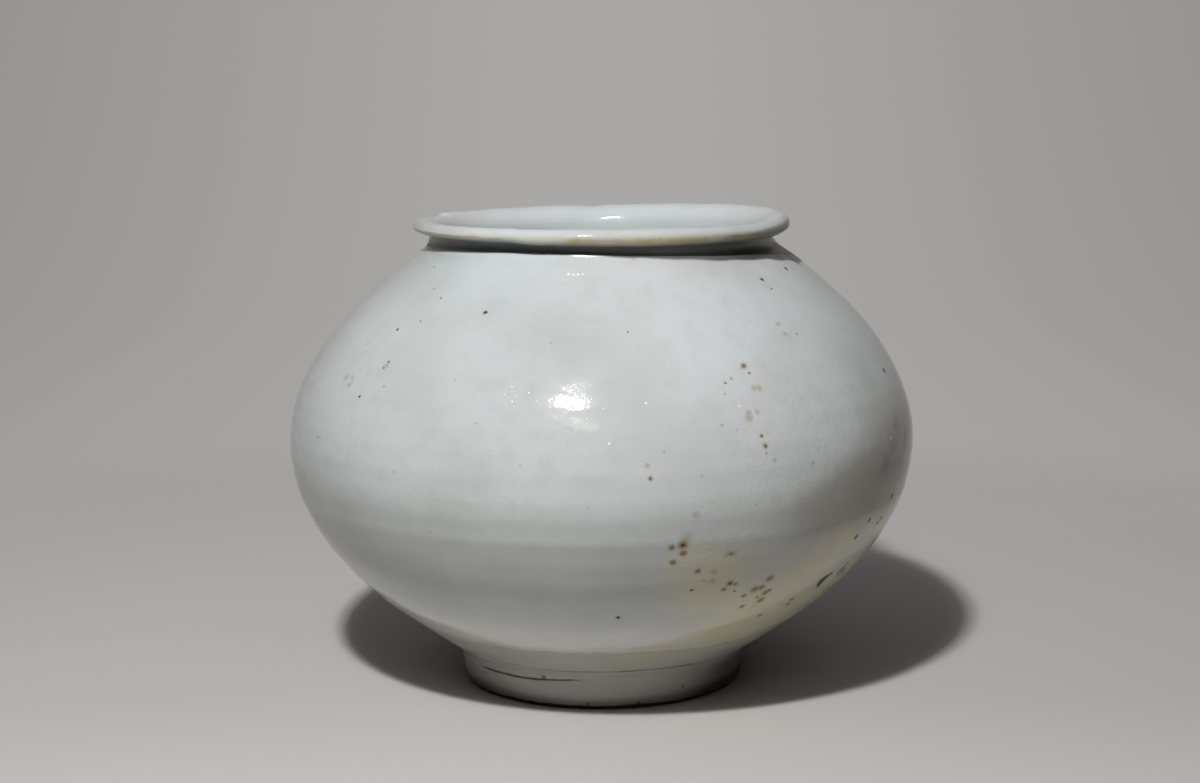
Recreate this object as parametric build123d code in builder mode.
from build123d import *
from math import atan2, cos, sin, tan, radians
import os

# A squat white porcelain jar with a wide mouth, in millimetres. +Z is up, and the origin is
# the centre of the foot's underside. Two thrown bowls are joined below the belly with slip.
# A collar with a rolled lip and a foot ring are luted on, and glaze covers all but the foot's edge.
# Sizes are of the glazed jar. The clay lies inside them by the thickness of the glaze.

# Foot ring
foot_radius = 71.8         # outside, at the joint with the bowl
foot_taper = 2.3           # how much narrower the foot is where it stands
foot_height = 14.0         # from the ground to the middle of the joint
foot_width = 10.0          # of the ring, where it stands
foot_edge_round = 1.5
foot_land = 3.2            # upright band of the bowl just above the joint

# Lower bowl: a cone trimmed with a tool, then the thrown flank up to the belly
trim_width = 26.7          # how far the cone spreads outwards
trim_rise = 18.8           # how far it climbs
cove_round = 5.0           # hollow between the foot and the cone
belly_radius = 155.0
belly_rise = 88.0          # from the cone's top edge to the widest line
flank_pull_low = 55.0      # length of the flank curve's handle along the cone
flank_pull_high = 24.5     # length of its upright handle at the belly

# Upper bowl: the shoulder from the belly to the collar
shoulder_rise = 93.0       # from the widest line to the collar's joint
shoulder_slope = 35.5      # degrees above the horizontal, at the collar
shoulder_pull_low = 20.0   # length of the shoulder curve's upright handle at the belly
shoulder_pull_high = 68.0  # length of its handle along the slope

# Mouth collar
neck_radius = 85.7
collar_flare = 2.8         # how far the collar spreads where it meets the shoulder
collar_height = 15.0       # from the joint to the crest of the lip
lip_overhang = 8.3         # how far the lip stands out from the neck
lip_depth = 7.3
lip_round = 3.2
lip_under_round = 2.2      # lower edge of the lip
lip_round_share = 0.45     # most of the lip's depth that one rounded edge may take
lip_inner_round = 11.6     # flare from the throat up to the crest
crest_flat = 0.2           # level top of the lip, between its two rounded edges
neck_round = 5.0           # hollow between the shoulder and the neck
tuck_round = 1.2           # hollow under the lip
neck_wall = 6.7

# Walls, joints and glaze
wall = 7.2                 # through the clay and both glazes
floor = 9.0                # bottom of the lower bowl, from the joint to the glazed inside
floor_round = 40.0
seam_drop = 16.0           # how far the belly joint lies below the widest line
slip = 1.0                 # thickness of each joint
bead_depth = 1.8           # slip smeared over the belly joint on the inside
bead_width = 12.0
glaze = 0.6
bare_edge = 2.2            # unglazed height of the foot outside
bare_recess = 3.0          # unglazed height of the foot inside the recess

# Heights and radii that follow
trim_slope = atan2(trim_rise, trim_width)
shoulder_lean = radians(shoulder_slope)
corner_height = foot_height + foot_land
trim_radius = foot_radius + trim_width
trim_height = corner_height + trim_rise
belly_height = trim_height + belly_rise
seam_height = belly_height - seam_drop
rim_height = belly_height + shoulder_rise
rim_radius = neck_radius + collar_flare
throat_radius = neck_radius - neck_wall
lip_radius = neck_radius + lip_overhang
jar_height = rim_height + collar_height
lip_underside = jar_height - lip_depth
recess_radius = foot_radius - foot_taper - foot_width
recess_height = foot_height + slip / 2
floor_height = recess_height + floor
widest = belly_radius + lip_radius


def trim_edge(inset):
    """Top edge of the trimmed cone, moved squarely into the wall by inset."""
    return trim_radius - inset * sin(trim_slope), trim_height + inset * cos(trim_slope)


def shoulder_top(inset):
    """Top edge of the shoulder, moved squarely into the wall by inset."""
    return rim_radius - inset * sin(shoulder_lean), rim_height - inset * cos(shoulder_lean)


def flank(inset):
    """Curve from the cone's top edge up to the belly."""
    x, z = trim_edge(inset)
    Bezier(
        (x, z),
        (x + flank_pull_low * cos(trim_slope), z + flank_pull_low * sin(trim_slope)),
        (belly_radius - inset, belly_height - flank_pull_high),
        (belly_radius - inset, belly_height),
    )


def shoulder(inset):
    """Curve from the belly up to the collar."""
    x, z = shoulder_top(inset)
    Bezier(
        (belly_radius - inset, belly_height),
        (belly_radius - inset, belly_height + shoulder_pull_low),
        (x + shoulder_pull_high * cos(shoulder_lean), z - shoulder_pull_high * sin(shoulder_lean)),
        (x, z),
    )


def outside(skin, mode=Mode.ADD):
    """Half section of the whole jar, filled, with skin pared off its outer faces and its throat."""
    trim_x, trim_z = trim_edge(skin)
    rim_x, rim_z = shoulder_top(skin)
    foot_x = foot_radius - skin
    neck_x = neck_radius - skin
    lip_x = lip_radius - skin
    throat_x = throat_radius + skin
    crest = jar_height - skin
    tuck_z = lip_underside + skin
    corner_z = trim_z - (trim_x - foot_x) * tan(trim_slope)
    neck_z = rim_z + (rim_x - neck_x) * tan(shoulder_lean)
    lip_r = min(lip_round, lip_round_share * lip_depth)
    under_r = min(lip_under_round, lip_round_share * lip_depth)
    flare_r = min(lip_inner_round, lip_overhang + neck_wall - crest_flat - lip_r)
    with BuildLine() as edge:
        Line((0, 0), (foot_x - foot_taper, 0))
        FilletPolyline(
            (foot_x - foot_taper, 0), (foot_x, corner_z), (trim_x, trim_z), radius=cove_round + skin
        )
        flank(skin)
        shoulder(skin)
        FilletPolyline(
            (rim_x, rim_z),
            (neck_x, neck_z),
            (neck_x, tuck_z),
            (lip_x, tuck_z),
            (lip_x, crest),
            (throat_x, crest),
            (throat_x, rim_height),
            radius=[neck_round + skin, tuck_round + skin, under_r - skin, lip_r - skin, flare_r - skin],
        )
        Polyline((throat_x, rim_height), (0, rim_height), (0, 0))
    make_face(edge.edges(), mode=mode)


def cavity(skin, mode=Mode.ADD):
    """Half section of the hollow below the collar, grown into the wall by skin."""
    trim_x, trim_z = trim_edge(wall - skin)
    rim_x, rim_z = shoulder_top(wall - skin)
    floor_z = floor_height - skin
    floor_x = trim_x - (trim_z - floor_z) / tan(trim_slope)
    throat_x = throat_radius + skin
    with BuildLine() as edge:
        FilletPolyline((0, floor_z), (floor_x, floor_z), (trim_x, trim_z), radius=floor_round + skin)
        flank(wall - skin)
        shoulder(wall - skin)
        Polyline((rim_x, rim_z), (throat_x, rim_height), (0, rim_height), (0, floor_z))
    make_face(edge.edges(), mode=mode)


def band(low, high, mode=Mode.ADD):
    """Level strip from the axis outwards, wider than the jar."""
    with Locations((0, low)):
        Rectangle(widest, high - low, align=(Align.MIN, Align.MIN), mode=mode)


def clay(low, high):
    """Half section of the clay wall between two heights."""
    outside(glaze)
    cavity(glaze, mode=Mode.SUBTRACT)
    Rectangle(recess_radius, recess_height, align=(Align.MIN, Align.MIN), mode=Mode.SUBTRACT)
    band(low, high, mode=Mode.INTERSECT)


def smeared_bead(cover, mode=Mode.ADD):
    """Half section of the slip smeared over the belly joint inside, thickened by cover."""
    half = bead_width / 2 + cover
    with BuildSketch(Plane.XZ, mode=Mode.PRIVATE) as strip:
        cavity(glaze)
        cavity(glaze - bead_depth - cover, mode=Mode.SUBTRACT)
        band(seam_height - half, seam_height + half, mode=Mode.INTERSECT)
    add(strip.sketch_local, mode=mode)


# Foot ring, with a bare rounded edge that the jar stands on
with BuildPart() as foot_ring:
    with BuildSketch(Plane.XZ):
        clay(0, foot_height - slip / 2)
    revolve(axis=Axis.Z)
    fillet(foot_ring.edges().filter_by(GeomType.CIRCLE).group_by(Axis.Z)[0], foot_edge_round)
foot_ring.part.label = "foot_ring"

# Slip between the foot ring and the lower bowl
with BuildPart() as foot_seam:
    with BuildSketch(Plane.XZ):
        clay(foot_height - slip / 2, foot_height + slip / 2)
    revolve(axis=Axis.Z)
foot_seam.part.label = "foot_seam"

# Lower thrown bowl, from its flat bottom to the belly joint
with BuildPart() as lower_bowl:
    with BuildSketch(Plane.XZ):
        clay(foot_height + slip / 2, seam_height - slip / 2)
    revolve(axis=Axis.Z)
lower_bowl.part.label = "lower_bowl"

# Slip of the belly joint, with the bead smeared over it inside
with BuildPart() as belly_seam:
    with BuildSketch(Plane.XZ):
        clay(seam_height - slip / 2, seam_height + slip / 2)
        smeared_bead(0)
    revolve(axis=Axis.Z)
belly_seam.part.label = "belly_seam"

# Upper thrown bowl, joined mouth down on the lower one
with BuildPart() as upper_bowl:
    with BuildSketch(Plane.XZ):
        clay(seam_height + slip / 2, rim_height - slip / 2)
    revolve(axis=Axis.Z)
upper_bowl.part.label = "upper_bowl"

# Slip between the shoulder and the collar
with BuildPart() as rim_seam:
    with BuildSketch(Plane.XZ):
        clay(rim_height - slip / 2, rim_height + slip / 2)
    revolve(axis=Axis.Z)
rim_seam.part.label = "rim_seam"

# Collar with the lip rolled outwards
with BuildPart() as mouth_rim:
    with BuildSketch(Plane.XZ):
        clay(rim_height + slip / 2, jar_height)
    revolve(axis=Axis.Z)
mouth_rim.part.label = "mouth_rim"

# Glaze over the outside, the lip and the throat, down to the foot's bare edge
with BuildPart() as outer_glaze:
    with BuildSketch(Plane.XZ):
        outside(0)
        outside(glaze, mode=Mode.SUBTRACT)
        band(bare_edge, jar_height, mode=Mode.INTERSECT)
    revolve(axis=Axis.Z)
outer_glaze.part.label = "outer_glaze"

# Glaze over the inside, from the throat to the floor
with BuildPart() as inner_glaze:
    with BuildSketch(Plane.XZ):
        cavity(glaze)
        cavity(0, mode=Mode.SUBTRACT)
        smeared_bead(glaze)
        smeared_bead(0, mode=Mode.SUBTRACT)
    revolve(axis=Axis.Z)
inner_glaze.part.label = "inner_glaze"

# Glaze in the recess under the jar, over the bowl's bottom and the inside of the foot ring
with BuildPart() as base_glaze:
    with BuildSketch(Plane.XZ):
        band(bare_recess, recess_height)
        Rectangle(recess_radius, recess_height, align=(Align.MIN, Align.MIN), mode=Mode.INTERSECT)
        Rectangle(
            recess_radius - glaze, recess_height - glaze, align=(Align.MIN, Align.MIN), mode=Mode.SUBTRACT
        )
    revolve(axis=Axis.Z)
base_glaze.part.label = "base_glaze"

pieces = [
    foot_ring, foot_seam, lower_bowl, belly_seam, upper_bowl, rim_seam, mouth_rim,
    outer_glaze, inner_glaze, base_glaze,
]
os.makedirs("parts", exist_ok=True)
for piece in pieces:
    export_step(piece.part, f"parts/{piece.part.label}.step")
    print(piece.part.label, round(piece.part.volume / 1000, 2), "cm3")
